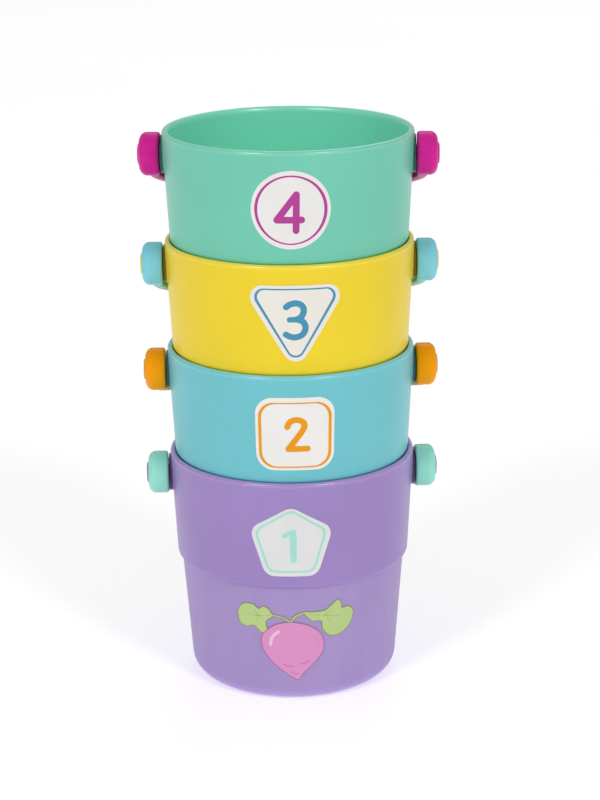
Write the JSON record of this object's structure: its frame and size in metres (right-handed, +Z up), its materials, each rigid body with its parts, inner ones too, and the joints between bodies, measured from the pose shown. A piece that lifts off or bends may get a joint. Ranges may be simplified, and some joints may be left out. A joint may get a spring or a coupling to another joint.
{
  "type": "stacking cup tower",
  "caption": "Tower of nesting toy pails with hanging bail handles, each standing in the rim of the one below, with number and picture labels.",
  "frame": {"origin": "middle of the bottom pail's flat underside, on the axis that all the pails share", "axes": "+Z up along the pails' shared axis; the labels face -Y; the handles hang towards +Y; +X is to the right as seen from the labelled side"},
  "size_m": [0.1208, 0.1092, 0.2284],
  "materials": {
    "purple_plastic": "satin-gloss moulded polypropylene",
    "mint_plastic": "satin-gloss moulded polypropylene",
    "radish_label_film": "printed vinyl film, satin",
    "blue_plastic": "satin-gloss moulded polypropylene",
    "orange_plastic": "satin-gloss moulded polypropylene",
    "carrot_label_film": "printed vinyl film, satin",
    "yellow_plastic": "satin-gloss moulded polypropylene",
    "sky_plastic": "satin-gloss moulded polypropylene",
    "plum_label_film": "printed vinyl film, satin",
    "teal_plastic": "satin-gloss moulded polypropylene",
    "magenta_plastic": "satin-gloss moulded polypropylene",
    "beet_label_film": "printed vinyl film, satin",
    "number_label_film": "printed vinyl film, satin"
  },
  "bodies": {
    "cup_1": {"cup_1_shell": "purple_plastic", "cup_1_pivot_cap_left": "purple_plastic", "cup_1_pivot_cap_right": "purple_plastic", "cup_1_number_label": "number_label_film", "cup_1_picture_label": "radish_label_film"},
    "cup_1_handle": {"cup_1_handle": "mint_plastic"},
    "cup_2": {"cup_2_shell": "blue_plastic", "cup_2_pivot_cap_left": "orange_plastic", "cup_2_pivot_cap_right": "orange_plastic", "cup_2_number_label": "number_label_film", "cup_2_picture_label": "carrot_label_film"},
    "cup_2_handle": {"cup_2_handle": "orange_plastic"},
    "cup_3": {"cup_3_shell": "yellow_plastic", "cup_3_pivot_cap_left": "yellow_plastic", "cup_3_pivot_cap_right": "yellow_plastic", "cup_3_number_label": "number_label_film", "cup_3_picture_label": "plum_label_film"},
    "cup_3_handle": {"cup_3_handle": "sky_plastic"},
    "cup_4": {"cup_4_shell": "teal_plastic", "cup_4_pivot_cap_left": "magenta_plastic", "cup_4_pivot_cap_right": "magenta_plastic", "cup_4_number_label": "number_label_film", "cup_4_picture_label": "beet_label_film"},
    "cup_4_handle": {"cup_4_handle": "magenta_plastic"}
  },
  "joints": [
    {"name": "cup_1_handle_swing", "type": "hinge", "parent": "cup_1", "child": "cup_1_handle", "pos_m": [0, 0, 0.086], "axis": [0.9986, 0.0523, 0], "range_deg": [0, 27]},
    {"name": "cup_2_lift", "type": "slide", "parent": "cup_1", "child": "cup_2", "axis": [0, 0, 1], "range_m": [0, 0.07]},
    {"name": "cup_2_handle_swing", "type": "hinge", "parent": "cup_2", "child": "cup_2_handle", "pos_m": [0, 0, 0.13], "axis": [0.9994, 0.0349, 0], "range_deg": [0, 24]},
    {"name": "cup_3_lift", "type": "slide", "parent": "cup_2", "child": "cup_3", "axis": [0, 0, 1], "range_m": [0, 0.07]},
    {"name": "cup_3_handle_swing", "type": "hinge", "parent": "cup_3", "child": "cup_3_handle", "pos_m": [0, 0, 0.174], "axis": [0.9997, 0.0244, 0], "range_deg": [0, 27]},
    {"name": "cup_4_lift", "type": "slide", "parent": "cup_3", "child": "cup_4", "axis": [0, 0, 1], "range_m": [0, 0.07]},
    {"name": "cup_4_handle_swing", "type": "hinge", "parent": "cup_4", "child": "cup_4_handle", "pos_m": [0, 0, 0.218], "axis": [0.9994, -0.0349, 0], "range_deg": [0, 220]}
  ]
}
